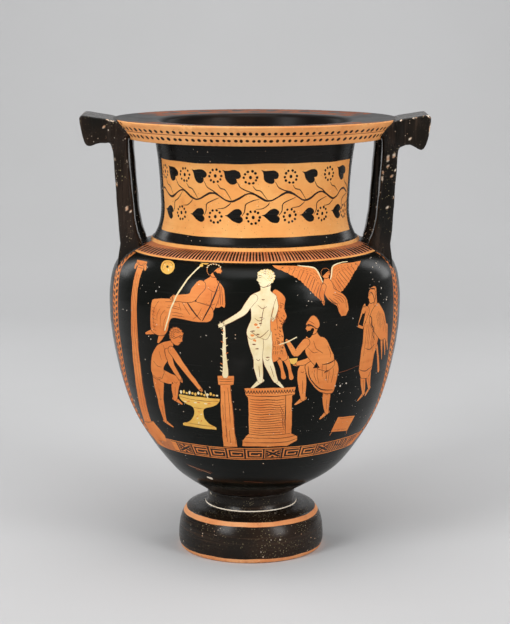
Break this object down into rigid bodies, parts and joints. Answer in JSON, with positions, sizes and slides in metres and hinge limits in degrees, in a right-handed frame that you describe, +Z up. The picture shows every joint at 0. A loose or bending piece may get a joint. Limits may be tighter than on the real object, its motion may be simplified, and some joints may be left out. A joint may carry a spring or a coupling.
{
  "type": "greek krater",
  "caption": "Fired-clay column-krater: open mixing bowl on a hollow foot, with a tall neck, an overhanging lip and a column handle with a plate on each side.",
  "frame": {"origin": "On the surface that it stands on, under the middle of the pot's box", "axes": "+Z up; X through the two handles; -Y is the front, which carries the main picture"},
  "size_m": [0.4, 0.343, 0.5195],
  "materials": {
    "painted_clay": "Satin black slip over orange fired clay, with the figures, bands and patterns left in the clay's orange and some touches of added white and yellow."
  },
  "bodies": {
    "root": {"krater": "painted_clay"}
  },
  "joints": []
}
